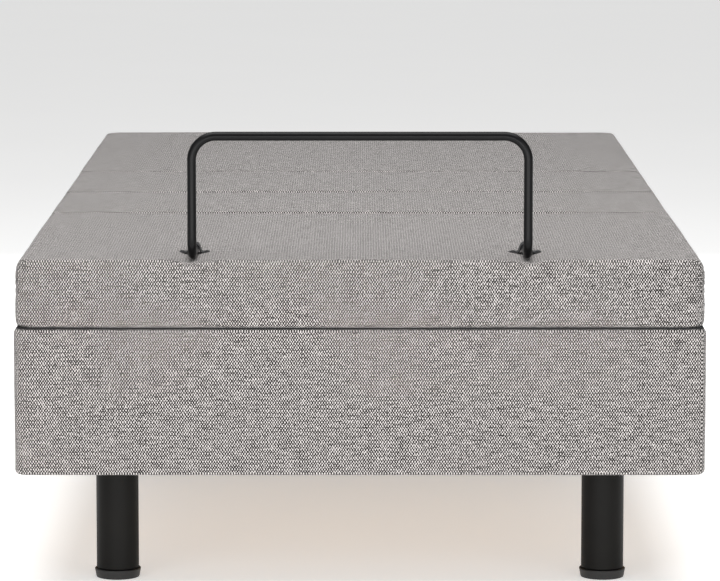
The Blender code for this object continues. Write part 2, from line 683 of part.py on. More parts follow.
def make_retainer_bar():
    """The bar that keeps the mattress from sliding off the foot end, and its two straps."""
    across = BAR_OUTER_WIDTH / 2 - BAR_ROD_RADIUS
    front = DECK_FOOT + BAR_END_INSET
    low = DECK_TOP + FIT + BAR_ROD_RADIUS
    top = DECK_TOP + BAR_RISE - BAR_ROD_RADIUS
    rear = front + BAR_FOOT_LENGTH
    foot_turn = [Vector((-across, rear, low)), Vector((-across, front, low))]
    route = foot_turn + [Vector((-across, front, top)), Vector((across, front, top)),
                         Vector((across, front, low)), Vector((across, rear, low))]
    bar = swept_bar_two_bends(route)
    place("retainer_bar", bar, "bar_gloss_black", KNEE_AXIS)
    for side, middle in (("left", -across), ("right", across)):
        bore = BAR_ROD_RADIUS + FIT
        outer = bore + STRAP_THICKNESS
        floor = DECK_TOP + FIT
        turns = [math.pi * step / STRAP_ARCH_STEPS for step in range(STRAP_ARCH_STEPS + 1)]
        arch = [(middle + outer * math.cos(turn), low + outer * math.sin(turn)) for turn in turns]
        inner = [(middle + bore * math.cos(turn), low + bore * math.sin(turn))
                 for turn in reversed(turns)]
        wing = outer + STRAP_WING
        outline = [(middle + wing, floor), (middle + wing, floor + STRAP_THICKNESS),
                   (middle + outer, floor + STRAP_THICKNESS)]
        outline += arch
        outline += [(middle - outer, floor + STRAP_THICKNESS), (middle - wing, floor + STRAP_THICKNESS),
                    (middle - wing, floor), (middle - bore, floor)]
        outline += inner
        outline += [(middle + bore, floor)]
        strap = prism(outline, rear - 2 * STRAP_WIDTH, rear - STRAP_WIDTH, axis="Y")
        place("bar_strap_" + side, strap, "steel_painted", KNEE_AXIS)


def swept_bar_two_bends(route):
    """The bar's route has tight bends at its feet and wide ones at its top."""
    feet = softened_route(route[:3], BAR_FOOT_BEND, 6)[:-1]
    far_feet = softened_route(route[3:], BAR_FOOT_BEND, 6)[1:]
    head = softened_route([feet[-1]] + route[2:4] + [far_feet[0]], BAR_BEND, 8)[1:-1]
    return swept_route(feet + head + far_feet, BAR_ROD_RADIUS, 16)


def make_box_on_rail(name, size, start, slot, edge):
    """A case fixed to the inside of the left rail."""
    depth, length, height = size
    near = -RAIL_INNER_X + FIT
    return place(name, block((near, start, ELECTRICS_HEIGHT), (near + depth, start + length,
                                                              ELECTRICS_HEIGHT + height), edge), slot)


def make_electrics(lifts, member_top):
    make_box_on_rail("control_box", CONTROL_BOX, CONTROL_BOX_START, "electric_plastic", ELECTRICS_EDGE)
    supply = make_box_on_rail("power_supply", POWER_SUPPLY, POWER_SUPPLY_START, "electric_plastic",
                              ELECTRICS_EDGE)
    near = -RAIL_INNER_X + FIT
    depth, height, rise = INLET_SIZE
    inlet_middle = near + POWER_SUPPLY[0] / 2
    inlet_end = POWER_SUPPLY_START + POWER_SUPPLY[1]
    inlet_low = ELECTRICS_HEIGHT + (POWER_SUPPLY[2] - rise) / 2
    inlet = block((inlet_middle - depth / 2, inlet_end - height, inlet_low),
                  (inlet_middle + depth / 2, inlet_end + FIT, inlet_low + rise))
    join(supply, "power_supply_inlet", inlet, "DIFFERENCE")
    rail = near + LEAD_STANDOFF
    level = member_top + LEAD_STANDOFF
    end_level = ELECTRICS_HEIGHT + CONTROL_BOX[2] / 2
    for index, lift in enumerate(lifts):
        start = lift.on_rod(HOUSING_START + LEAD_BEND, -HOUSING_WIDTH / 2 - LEAD_END_GAP)
        beside = start - Vector((2 * LEAD_BEND, 0, 0))
        lane = rail + index * 3 * LEAD_RADIUS
        route = [start, beside, Vector((beside.x, beside.y, level)),
                 Vector((lane, beside.y, level)), Vector((lane, CONTROL_BOX_START - 3 * LEAD_BEND, level)),
                 Vector((lane, CONTROL_BOX_START - 3 * LEAD_BEND, end_level)),
                 Vector((lane, CONTROL_BOX_START - LEAD_END_GAP, end_level))]
        place(lift.name + "_motor_lead", swept_bar(route, LEAD_RADIUS, LEAD_BEND / 2, 4, 8),
              "lead_rubber")
    end = near + CONTROL_BOX[0] / 2
    start_point = Vector((end, CONTROL_BOX_START + CONTROL_BOX[1] + LEAD_END_GAP, end_level))
    stop_point = Vector((end, POWER_SUPPLY_START - LEAD_END_GAP, ELECTRICS_HEIGHT + POWER_SUPPLY[2] / 2))
    half_way = (start_point.y + stop_point.y) / 2
    place("supply_lead", swept_bar([start_point, Vector((end, half_way, start_point.z)),
                                    Vector((end, half_way, stop_point.z)), stop_point],
                                   LEAD_RADIUS, LEAD_RADIUS, 4, 8), "lead_rubber")


def main():
    clear_scene()
    make_materials()
    make_rails()
    make_covers()
    make_support()
    make_deck()
    make_hinges()
    lifts, member_top = make_lifts()
    make_retainer_bar()
    make_electrics(lifts, member_top)


main()
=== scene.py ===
"""Looks for the adjustable bed base: upholstery, retainer bar, legs and the works underneath."""
import json
import math

import bmesh
import bpy
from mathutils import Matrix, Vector, noise


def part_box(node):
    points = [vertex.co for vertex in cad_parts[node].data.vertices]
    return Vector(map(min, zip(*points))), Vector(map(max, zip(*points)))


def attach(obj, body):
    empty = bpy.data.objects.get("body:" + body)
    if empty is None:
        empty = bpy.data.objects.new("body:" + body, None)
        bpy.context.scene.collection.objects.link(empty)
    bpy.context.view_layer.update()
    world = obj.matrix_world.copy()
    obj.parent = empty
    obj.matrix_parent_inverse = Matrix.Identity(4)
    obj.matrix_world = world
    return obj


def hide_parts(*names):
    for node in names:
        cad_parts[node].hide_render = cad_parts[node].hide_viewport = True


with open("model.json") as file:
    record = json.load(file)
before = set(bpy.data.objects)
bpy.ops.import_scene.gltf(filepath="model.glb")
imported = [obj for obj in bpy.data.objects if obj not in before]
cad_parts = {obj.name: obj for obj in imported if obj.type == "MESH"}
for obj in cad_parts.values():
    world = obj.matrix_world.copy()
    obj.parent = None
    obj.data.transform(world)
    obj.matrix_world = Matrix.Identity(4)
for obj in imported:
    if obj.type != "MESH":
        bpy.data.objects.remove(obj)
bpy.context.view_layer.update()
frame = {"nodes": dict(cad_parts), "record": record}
NODES = frame["nodes"]
MM = 0.001


# ---------------------------------------------------------------- materials

def rgb(hex_value, alpha=1.0):
    """An sRGB hex value as linear colour."""
    parts = [(hex_value >> shift & 255) / 255 for shift in (16, 8, 0)]
    flat = [p / 12.92 if p <= 0.04045 else ((p + 0.055) / 1.055) ** 2.4 for p in parts]
    return (*flat, alpha)


def add(tree, kind, inputs=None, **settings):
    """Add one node; inputs may hold values or the sockets that feed them."""
    made = tree.nodes.new("ShaderNode" + kind)
    for key, value in settings.items():
        setattr(made, key, value)
    for key, value in (inputs or {}).items():
        if isinstance(value, bpy.types.NodeSocket):
            tree.links.new(value, made.inputs[key])
        else:
            made.inputs[key].default_value = value
    return made


def start(name, roughness, metallic=0.0, **constants):
    """A new material with constants set on its Principled shader."""
    made = bpy.data.materials.new(name)
    made.use_nodes = True
    shader = made.node_tree.nodes["Principled BSDF"]
    shader.inputs["Roughness"].default_value = roughness
    shader.inputs["Metallic"].default_value = metallic
    for key, value in constants.items():
        shader.inputs[key.replace("_", " ").title().replace("Ior", "IOR")].default_value = value
    return made, made.node_tree, shader


def ramp(tree, factor, stops):
    """A colour ramp of (place, hex) stops."""
    made = add(tree, "ValToRGB", {"Fac": factor})
    band = made.color_ramp
    while len(band.elements) < len(stops):
        band.elements.new(0.5)
    for element, (place, shade) in zip(band.elements, stops):
        element.position = place
        element.color = rgb(shade)
    return made.outputs["Color"]


def maths(tree, operation, first, second=0.0, third=0.0, clamp=False):
    return add(tree, "Math", {0: first, 1: second, 2: third}, operation=operation,
               use_clamp=clamp).outputs[0]


def bump(tree, shader, height, distance, strength=1.0, normal=None):
    made = add(tree, "Bump", {"Height": height, "Distance": distance, "Strength": strength})
    if normal:
        tree.links.new(normal, made.inputs["Normal"])
    tree.links.new(made.outputs["Normal"], shader.inputs["Normal"])
    return made.outputs["Normal"]


def weave_plane(tree):
    """Across and up along whichever face of the piece is being looked at, in metres."""
    place = add(tree, "TexCoord")
    spot = add(tree, "SeparateXYZ", {0: place.outputs["Object"]})
    facing = add(tree, "SeparateXYZ", {0: place.outputs["Normal"]})
    sideways = maths(tree, "GREATER_THAN", maths(tree, "ABSOLUTE", facing.outputs["X"]), 0.7)
    upward = maths(tree, "GREATER_THAN", maths(tree, "ABSOLUTE", facing.outputs["Z"]), 0.7)
    across = add(tree, "Mix", {0: sideways, 2: spot.outputs["X"], 3: spot.outputs["Y"]}).outputs[0]
    up = add(tree, "Mix", {0: upward, 2: spot.outputs["Z"], 3: spot.outputs["Y"]}).outputs[0]
    return place.outputs["Object"], across, up


FLOAT_SPACING = 3.63 * MM
ROW_SPACING = 2.72 * MM


def woven_tweed():
    """Polyester tweed in a staggered two-tone weave: pale yarn floats over a dark taupe ground,
    which the eye reads as warm grey with a salt-and-pepper grain."""
    made, tree, shader = start("polyester_tweed_woven", 0.92, sheen_weight=0.08,
                               sheen_roughness=0.5, specular_ior_level=0.2)
    place, across, up = weave_plane(tree)
    # Yarn floats 3.6 mm apart along a row; rows 2.7 mm apart, every other row moved half a float.
    drift = add(tree, "TexNoise", {"Vector": place, "Scale": 75.0, "Detail": 2.0})
    rise = add(tree, "SeparateColor", {0: drift.outputs["Color"]}).outputs[1]
    shifted = maths(tree, "MULTIPLY_ADD", drift.outputs["Fac"], 2.2 * MM, across)
    lifted = maths(tree, "MULTIPLY_ADD", rise, 1.8 * MM, up)
    columns = maths(tree, "COSINE", maths(tree, "MULTIPLY", shifted, 2 * math.pi / FLOAT_SPACING))
    rows = maths(tree, "COSINE", maths(tree, "MULTIPLY", lifted, math.pi / ROW_SPACING))
    crossed = maths(tree, "MULTIPLY_ADD", columns, 0.2, maths(tree, "MULTIPLY", columns, rows))
    floats = maths(tree, "MULTIPLY_ADD", crossed, 0.5, 0.5)
    fibre = add(tree, "TexNoise", {"Vector": place, "Scale": 420.0, "Detail": 3.0,
                                   "Roughness": 0.7}).outputs["Fac"]
    streak = add(tree, "CombineXYZ", {0: maths(tree, "MULTIPLY", across, 45.0),
                                      1: maths(tree, "MULTIPLY", up, 320.0)}).outputs[0]
    slub = add(tree, "TexNoise", {"Vector": streak, "Scale": 1.0, "Detail": 3.0}).outputs["Fac"]
    mixed = maths(tree, "MULTIPLY_ADD", maths(tree, "SUBTRACT", fibre, 0.5), 1.15, floats)
    mixed = maths(tree, "MULTIPLY_ADD", maths(tree, "SUBTRACT", slub, 0.5), 0.5, mixed)
    shade = ramp(tree, mixed, ((0.26, 0x0A0909), (0.46, 0x2B2928), (0.58, 0x7B7774),
                               (0.78, 0xD3CECC)))
    tree.links.new(shade, shader.inputs["Base Color"])
    bump(tree, shader, mixed, 0.5 * MM, 0.5)
    return made


def painted_shade_twill():
    """Thin black polypropylene cloth, flat and dull, for the dark sheet of painted shade in the gap between
    box and deck.
    """
    made, tree, shader = start("polypropylene_painted_shade", 0.85)
    _, across, up = weave_plane(tree)
    rib = maths(tree, "SINE", maths(tree, "MULTIPLY", maths(tree, "ADD", across, up), 1800.0))
    shade = ramp(tree, maths(tree, "MULTIPLY_ADD", rib, 0.5, 0.5), ((0.0, 0x0E0E0F), (1.0, 0x1D1D1E)))
    tree.links.new(shade, shader.inputs["Base Color"])
    bump(tree, shader, rib, 0.2 * MM, 0.3)
    return made


def birch_ply(name, grain_scale):
    """Birch plywood, sanded and unfinished: pale, with long soft grain."""
    made, tree, shader = start(name, 0.62)
    place = add(tree, "TexCoord").outputs["Object"]
    stretched = add(tree, "Mapping", {"Vector": place, "Scale": grain_scale}).outputs[0]
    waves = add(tree, "TexNoise", {"Vector": stretched, "Scale": 26.0, "Detail": 5.0,
                                   "Distortion": 1.2}).outputs["Fac"]
    fine = add(tree, "TexNoise", {"Vector": stretched, "Scale": 420.0, "Detail": 2.0}).outputs["Fac"]
    grain = maths(tree, "MULTIPLY_ADD", maths(tree, "SUBTRACT", fine, 0.5), 0.35, waves)
    shade = ramp(tree, grain, ((0.3, 0x9A7A52), (0.5, 0xC3A377), (0.72, 0xD9BD93)))
    tree.links.new(shade, shader.inputs["Base Color"])
    bump(tree, shader, grain, 0.3 * MM, 0.4)
    return made


def coated(name, dark, light, roughness, grit_mm, depth_mm, strength=0.5, **constants):
    """A coating or moulding with a fine grit, slightly uneven in shade and gloss."""
    made, tree, shader = start(name, roughness, **constants)
    place = add(tree, "TexCoord").outputs["Object"]
    grit = add(tree, "TexNoise", {"Vector": place, "Scale": 1 / (grit_mm * MM), "Detail": 2.0}).outputs["Fac"]
    cloud = add(tree, "TexNoise", {"Vector": place, "Scale": 9.0, "Detail": 3.0}).outputs["Fac"]
    tree.links.new(ramp(tree, cloud, ((0.3, dark), (0.7, light))), shader.inputs["Base Color"])
    spread = add(tree, "MapRange", {"Value": cloud, "To Min": roughness * 0.88,
                                    "To Max": roughness * 1.14}).outputs[0]
    tree.links.new(spread, shader.inputs["Roughness"])
    bump(tree, shader, grit, depth_mm * MM, strength)
    return made


def zinc_plate():
    """Steel with bright zinc plating: metal with faint spangles and fine rolling marks."""
    made, tree, shader = start("zinc_plated_steel", 0.32, 1.0)
    place = add(tree, "TexCoord").outputs["Object"]
    spangle = add(tree, "TexVoronoi", {"Vector": place, "Scale": 120.0}).outputs["Color"]
    level = add(tree, "SeparateColor", {0: spangle}).outputs[0]
    tree.links.new(ramp(tree, level, ((0.0, 0xACAFB2), (1.0, 0xBEC0C3))), shader.inputs["Base Color"])
    spread = add(tree, "MapRange", {"Value": level, "To Min": 0.36, "To Max": 0.44}).outputs[0]
    tree.links.new(spread, shader.inputs["Roughness"])
    marks = add(tree, "TexNoise", {"Vector": place, "Scale": 900.0}).outputs["Fac"]
    bump(tree, shader, marks, 0.02 * MM, 0.15)
    return made


def ground_rod():
    """Hard-chromed actuator rod, ground round: mirror-like with faint rings."""
    made, tree, shader = start("chromed_steel_ground", 0.14, 1.0)
    place = add(tree, "TexCoord").outputs["Object"]
    rings = add(tree, "TexWave", {"Vector": place, "Scale": 260.0, "Distortion": 0.6},
                bands_direction="Y").outputs["Fac"]
    tree.links.new(ramp(tree, rings, ((0.0, 0xB4B6BA), (1.0, 0xC6C8CB))), shader.inputs["Base Color"])
    bump(tree, shader, rings, 0.01 * MM, 0.3)
    return made


TWEED = woven_tweed()
# Dark cloth used only as painted shade: a sheet laid in the gap between box and deck where shadow falls.
PAINTED_SHADE_CLOTH = painted_shade_twill()
PLY = birch_ply("birch_plywood_grain_along", (1.0, 0.06, 1.0))
PLY_ACROSS = birch_ply("birch_plywood_grain_across", (0.06, 1.0, 1.0))
LEG_COAT = coated("steel_powder_coat_satin", 0x0D0C0B, 0x141311, 0.48, 0.9, 0.05,
                  specular_ior_level=0.12)
BAR_COAT = coated("steel_powder_coat_gloss", 0x070708, 0x0C0C0D, 0.3, 1.6, 0.03, 0.4,
                  specular_ior_level=0.15)
FRAME_COAT = coated("steel_powder_coat_black", 0x151516, 0x1F1F21, 0.48, 1.1, 0.06,
                    specular_ior_level=0.35)
GLIDE_NYLON = coated("nylon_moulded", 0x161616, 0x1F1F1F, 0.5, 1.4, 0.05)
HOUSING_ABS = coated("abs_moulded_spark_texture", 0x1E1E20, 0x29292B, 0.55, 0.8, 0.09)
CASE_ABS = coated("abs_moulded_case", 0x19191A, 0x232325, 0.5, 0.8, 0.07)
LEAD_PVC = coated("pvc_lead_jacket", 0x111112, 0x1A1A1B, 0.45, 2.0, 0.04)
ZINC = zinc_plate()
ROD = ground_rod()


def coat(obj, finish):
    obj.data.materials.clear()
    obj.data.materials.append(finish)


FINISHES = (
    (("rail_core_foot", "rail_core_head"), PLY_ACROSS), (("board", "rail_core"), PLY),
    (("hinge_leaf",), ZINC), (("lead",), LEAD_PVC),
    (("actuator_rod",), ROD), (("housing",), HOUSING_ABS), (("control_box", "power_supply"), CASE_ABS),
    (("member", "lift_bracket", "actuator_tube"), FRAME_COAT), (("glide",), GLIDE_NYLON),
    (("leg_",), LEG_COAT), (("retainer_bar",), BAR_COAT), (("strap",), FRAME_COAT),
    (("pad", "cover"), TWEED),
)
for node_name, node_object in NODES.items():
    finish = next(shade for words, shade in FINISHES if any(word in node_name for word in words))
    coat(node_object, finish)
    for face in node_object.data.polygons:
        face.use_smooth = True
    node_object.data.set_sharp_from_angle(angle=math.radians(35))


# ---------------------------------------------------------------- mesh helpers

def make(name, verts, faces, finish, body, smooth_angle=None, levels=0):
    """A mesh piece that rides on a body; faces are turned outward."""
    mesh = bpy.data.meshes.new(name)
    built = bmesh.new()
    points = [built.verts.new(vert) for vert in verts]
    for face in faces:
        built.faces.new([points[index] for index in face])
    bmesh.ops.recalc_face_normals(built, faces=built.faces)
    built.to_mesh(mesh)
    built.free()
    mesh.shade_smooth()
    if smooth_angle:
        mesh.set_sharp_from_angle(angle=math.radians(smooth_angle))
    made = bpy.data.objects.new(name, mesh)
    bpy.context.scene.collection.objects.link(made)
    mesh.materials.append(finish)
    if levels:
        step = made.modifiers.new("soften", "SUBSURF")
        step.levels = step.render_levels = levels
    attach(made, body)
    return made


def six_sided(angle):
    """How far out a hexagon's side is at an angle, where its corners are at 1."""
    sixth = math.pi / 3
    return math.cos(sixth / 2) / math.cos(angle % sixth - sixth / 2)


def lathe(profile, sides, centre, axis=Vector((0, 0, 1)), hexagon_rings=()):
    """Rings of (radius, along) turned about an axis, closed at both ends; some may be hexagons."""
    turn = Vector((0, 0, 1)).rotation_difference(axis).to_matrix()
    verts = []
    faces = []
    for ring, (radius, along) in enumerate(profile):
        for side in range(sides):
            angle = 2 * math.pi * side / sides
            reach = radius * six_sided(angle) if ring in hexagon_rings else radius
            verts.append(centre + turn @ Vector((reach * math.cos(angle), reach * math.sin(angle), along)))
    for ring in range(len(profile) - 1):
        for side in range(sides):
            beside = (side + 1) % sides
            faces.append((ring * sides + side, ring * sides + beside,
                          (ring + 1) * sides + beside, (ring + 1) * sides + side))
    faces.append(tuple(range(sides)))
    faces.append(tuple((len(profile) - 1) * sides + side for side in range(sides)))
    return verts, faces


def arc(centre, radius, start_angle, end_angle, steps):
    """Points of an arc in a plane, angles in degrees."""
    points = []
    for step in range(steps + 1):
        angle = math.radians(start_angle + (end_angle - start_angle) * step / steps)
        points.append((centre[0] + radius * math.cos(angle), centre[1] + radius * math.sin(angle)))
    return points


# ---------------------------------------------------------------- deck upholstery

def graded(low, high, fine_reach, fine_step, coarse_step):
    """Places from low to high, close together near both ends."""
    fine_count = round(fine_reach / fine_step)
    inner = high - low - 2 * fine_reach
    coarse_count = max(1, round(inner / coarse_step))
    places = [low + fine_step * index for index in range(fine_count)]
    places += [low + fine_reach + inner * index / coarse_count for index in range(coarse_count)]
    places += [high - fine_reach + fine_step * index for index in range(fine_count + 1)]
    return places


def shell_of_grids(xs, ys, zs):
    """The outside of a block as one closed mesh of grid faces."""
    index = {}
    verts = []
    faces = []

    def corner(i, j, k):
        if (i, j, k) not in index:
            index[i, j, k] = len(verts)
            verts.append(Vector((xs[i], ys[j], zs[k])))
        return index[i, j, k]

    last = (len(xs) - 1, len(ys) - 1, len(zs) - 1)
    for k in (0, last[2]):
        for i in range(last[0]):
            for j in range(last[1]):
                faces.append((corner(i, j, k), corner(i + 1, j, k),
                              corner(i + 1, j + 1, k), corner(i, j + 1, k)))
    for j in (0, last[1]):
        for i in range(last[0]):
            for k in range(last[2]):
                faces.append((corner(i, j, k), corner(i + 1, j, k),
                              corner(i + 1, j, k + 1), corner(i, j, k + 1)))
    for i in (0, last[0]):
        for j in range(last[1]):
            for k in range(last[2]):
                faces.append((corner(i, j, k), corner(i, j + 1, k),
                              corner(i, j + 1, k + 1), corner(i, j, k + 1)))
    return verts, faces


ROLL_HEIGHT = 28 * MM
ROLL_INSET = 10 * MM
FOLD_ROLL_HEIGHT = 15 * MM
FOLD_ROLL_INSET = 7 * MM
TUCK_HEIGHT = 12 * MM
TUCK_INSET = 4 * MM
END_CORNER = 24 * MM
FOLD_CORNER = 9 * MM
SHIFT_REACH = 70 * MM
FLANK_ROWS = 34
GATHER_DEPTH = 3.0 * MM
HEM_STEP = 2.1 * MM
HEM_GAP = 0.15 * MM


def roll_inset(height, from_top, roll_height, roll_inset_at_top):
    """How far the cover rolls inward near the top edge and tucks in at the bottom edge."""
    inset = 0.0
    if from_top < roll_height:
        share = 1 - from_top / roll_height
        inset += roll_inset_at_top * (1 - math.sqrt(max(0.0, 1 - share * share)))
    if height < TUCK_HEIGHT:
        share = 1 - height / TUCK_HEIGHT
        inset += TUCK_INSET * (1 - math.sqrt(max(0.0, 1 - share * share)))
    return inset


def fade(distance, reach):
    """1 at no distance, falling smoothly to 0 at the reach."""
    share = min(1.0, max(0.0, distance / reach))
    return (1 - share) ** 2 * (1 + 2 * share)


def gathers(along_edge, height, seed, pitch=25 * MM):
    """Small folds where the cover is pulled round an upright corner."""
    sway = noise.noise(Vector((along_edge * 40, height * 30, seed)))
    slant = along_edge / (22 * MM)
    wave = math.sin(2 * math.pi * height / pitch + 3.2 * sway + slant + seed)
    crease = 1 - 2 * (1 - abs(wave)) ** 2
    strength = 0.6 + 0.8 * noise.noise(Vector((height * 22, seed, 3.0)))
    return crease * strength * fade(abs(along_edge - 20 * MM), 30 * MM)


def pad_shape(node, seed, foot_is_end, head_is_end):
    """Vertices of one upholstered deck section, softly rounded and slightly crowned."""
    low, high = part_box(node)
    fine_x = graded(low.x, high.x, 60 * MM, 4 * MM, 22 * MM)
    fine_y = graded(low.y, high.y, 60 * MM, 4 * MM, 22 * MM)
    tall = high.z - low.z
    shares = [0, 0.012, 0.03] + [0.06 + 0.88 * step / FLANK_ROWS for step in range(FLANK_ROWS + 1)]
    shares += [0.97, 0.988, 1]
    verts, faces = shell_of_grids(fine_x, fine_y, [low.z + tall * share for share in shares])
    middle = (low + high) / 2
    half_x = (high.x - low.x) / 2
    half_y = (high.y - low.y) / 2
    for vert in verts:
        x = vert.x - middle.x
        y = vert.y - middle.y
        height = vert.z - low.z
        from_top = high.z - vert.z
        is_end = foot_is_end if y < 0 else head_is_end
        roll = (ROLL_HEIGHT, ROLL_INSET) if is_end else (FOLD_ROLL_HEIGHT, FOLD_ROLL_INSET)
        side_inset = roll_inset(height, from_top, ROLL_HEIGHT, ROLL_INSET)
        end_inset = roll_inset(height, from_top, *roll)
        edge_x = half_x - abs(x)
        edge_y = half_y - abs(y)
        x -= math.copysign(side_inset * fade(edge_x, SHIFT_REACH), x)
        y -= math.copysign(end_inset * fade(edge_y, SHIFT_REACH), y)
        corner = END_CORNER if is_end else FOLD_CORNER
        room_x = abs(x) - (half_x - side_inset - corner)
        room_y = abs(y) - (half_y - end_inset - corner)
        if room_x > 0 and room_y > 0:
            squeeze = max(room_x, room_y) / math.hypot(room_x, room_y)
            x = math.copysign(half_x - side_inset - corner + room_x * squeeze, x)
            y = math.copysign(half_y - end_inset - corner + room_y * squeeze, y)
        top_share = fade(from_top, 40 * MM)
        crown = (1 - (x / half_x) ** 4) * (1 - (y / half_y) ** 4)
        lift = 1.6 * MM * crown * top_share - 1.2 * MM * top_share
        flank = math.sin(math.pi * min(1.0, height / tall))
        on_side = edge_x < 1 * MM
        on_end = edge_y < 1 * MM
        push = (0.8 * noise.noise(Vector((x * 5, y * 5, height * 14 + seed)))
                + 0.35 * noise.noise(Vector((x * 21, y * 21, height * 30 + seed)))) * MM
        if on_end and is_end:
            push += GATHER_DEPTH * gathers(edge_x, height, seed) * flank
            pull_in = fade(abs(edge_x - 60 * MM), 70 * MM)
            y -= math.copysign(1.0 * MM - push + 0.6 * MM * pull_in, y)
        elif on_end:
            y -= math.copysign(0.8 * MM - push * 0.6, y)
        if on_side:
            near_end = edge_y if is_end else 1.0
            push += GATHER_DEPTH * gathers(near_end, height, seed + 4) * flank
            x -= math.copysign(1.0 * MM - push, x)
        sag = -1.0 * MM * (1 - (x / half_x) ** 2) * fade(height, 30 * MM) if on_end and is_end else 0.0
        ripple = 0.7 * MM * noise.noise(Vector((x * 6, y * 6, seed))) * top_share
        vert.x = middle.x + x
        vert.y = middle.y + y
        vert.z = max(low.z + 0.1 * MM, vert.z + lift + ripple + max(sag, -height))
    hollow_for_board(verts, low, high, node.replace("pad", "board"))
    return verts, faces


def hollow_for_board(verts, low, high, board):
    """The cover turns under by a hem and stops there, so that the board shows inside it."""
    board_low, board_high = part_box(board)
    hem_x = board_low.x - low.x
    hem_y = board_low.y - low.y
    for vert in verts:
        if vert.z > low.z + 1 * MM:
            continue
        inside_x = min(vert.x - low.x, high.x - vert.x) - hem_x
        inside_y = min(vert.y - low.y, high.y - vert.y) - hem_y
        inside = min(inside_x, inside_y)
        if inside > -HEM_STEP:
            if inside_x < HEM_STEP:
                vert.x = board_low.x - HEM_GAP if vert.x < 0 else board_high.x + HEM_GAP
            if inside_y < HEM_STEP:
                middle = (low.y + high.y) / 2
                vert.y = board_low.y - HEM_GAP if vert.y < middle else board_high.y + HEM_GAP
        if inside > 0:
            vert.z = board_high.z + 0.2 * MM


BAR_RADIUS = 6.2 * MM
BAR_SINK = 4 * MM


def bar_dips():
    """Where the feet of the retainer bar press into the calf section's cover."""
    low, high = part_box("retainer_bar")
    across = high.x - BAR_RADIUS
    return ((-across, low.y, high.y), (across, low.y, high.y))


def press_in(verts, top):
    """Sink the cover under the bar's feet."""
    dips = bar_dips()
    for vert in verts:
        if vert.z < top - 30 * MM:
            continue
        for across, near, far in dips:
            beside = abs(vert.x - across)
            beyond = max(near - vert.y, vert.y - far, 0.0)
            depth = (BAR_SINK + 2.6 * MM) * fade(beside, 30 * MM) * fade(beyond, 30 * MM)
            vert.z -= depth * fade(max(0.0, top - vert.z), 30 * MM)


def deck_pad(section, body, seed, foot_is_end=False, head_is_end=False):
    node = section + "_pad"
    verts, faces = pad_shape(node, seed, foot_is_end, head_is_end)
    if section == "calf":
        press_in(verts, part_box(node)[1].z)
    piece = make(section + "_upholstery", verts, faces, TWEED, body)
    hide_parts(node)
    return piece


deck_pad("back", "back_section", 1.3, head_is_end=True)
deck_pad("seat", "base", 2.1)
deck_pad("thigh", "thigh_section", 3.7)
deck_pad("calf", "calf_section", 5.2, foot_is_end=True)


# ---------------------------------------------------------------- box upholstery

BOX_CORNER = 20 * MM
BOX_ARC_STEPS = 9


def wrapped_loop(half_x, half_y, corner, step=18 * MM):
    """A rounded rectangle as (point, outward) pairs, always with the same count for one box."""
    pairs = []
    full_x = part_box("box_cover_foot")[1].x - BOX_CORNER
    full_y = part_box("box_cover_head")[1].y - BOX_CORNER
    counts = (round(2 * full_y / step), round(2 * full_x / step))
    for turn in range(4):
        centre = Vector(((half_x - corner) * (1 if turn in (0, 3) else -1),
                         (half_y - corner) * (1 if turn in (0, 1) else -1), 0))
        for index in range(BOX_ARC_STEPS):
            angle = math.pi / 2 * (turn + index / BOX_ARC_STEPS)
            outward = Vector((math.cos(angle), math.sin(angle), 0))
            pairs.append((centre + outward * corner, outward))
        angle = math.pi / 2 * (turn + 1)
        outward = Vector((math.cos(angle), math.sin(angle), 0))
        here = centre + outward * corner
        following = (turn + 1) % 4
        there = Vector(((half_x - corner) * (1 if following in (0, 3) else -1),
                        (half_y - corner) * (1 if following in (0, 1) else -1), 0)) + outward * corner
        count = counts[1] if turn % 2 == 0 else counts[0]
        for index in range(count):
            pairs.append((here.lerp(there, index / count), outward))
    return pairs


def box_upholstery():
    """The fabric and foam round the box, one closed band with soft edges."""
    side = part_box("box_cover_right")[1].x
    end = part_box("box_cover_head")[1].y
    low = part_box("box_cover_foot")[0].z
    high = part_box("box_cover_foot")[1].z
    thick = 10 * MM
    edge = 7 * MM
    profile = [(edge - radius_x, low + edge - radius_z) for radius_x, radius_z in
               ((edge * math.sin(angle), edge * math.cos(angle))
                for angle in (math.pi / 2 * step / 7 for step in range(8)))]
    walls = [low + edge + (high - low - 2 * edge) * step / 14 for step in range(1, 14)]
    profile += [(0.0, height) for height in walls]
    profile += [(edge - edge * math.cos(angle), high - edge + edge * math.sin(angle))
                for angle in (math.pi / 2 * step / 7 for step in range(8))]
    profile += [(thick - 0.4 * MM, high), (thick, high - 0.6 * MM), (thick, (low + high) / 2),
                (thick, low + 0.6 * MM), (thick - 0.4 * MM, low)]
    verts = []
    faces = []
    count = 0
    for inset, height in profile:
        loop = wrapped_loop(side - inset, end - inset, max(BOX_CORNER - inset, 1 * MM))
        count = len(loop)
        for point, outward in loop:
            outside = fade(inset, 6 * MM)
            push = (0.7 * noise.noise(Vector((point.x * 4, point.y * 4, height * 8)))
                    + 0.3 * noise.noise(Vector((point.x * 17, point.y * 17, height * 24)))) * MM
            placed = point + outward * (push - 0.8 * MM) * outside
            verts.append(Vector((placed.x, placed.y, height)))
    rings = len(profile)
    for ring in range(rings):
        following = (ring + 1) % rings
        for index in range(count):
            beside = (index + 1) % count
            faces.append((ring * count + index, ring * count + beside,
                          following * count + beside, following * count + index))
    piece = make("box_upholstery", verts, faces, TWEED, "base", smooth_angle=60)
    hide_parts("box_cover_left", "box_cover_right", "box_cover_foot", "box_cover_head")


box_upholstery()


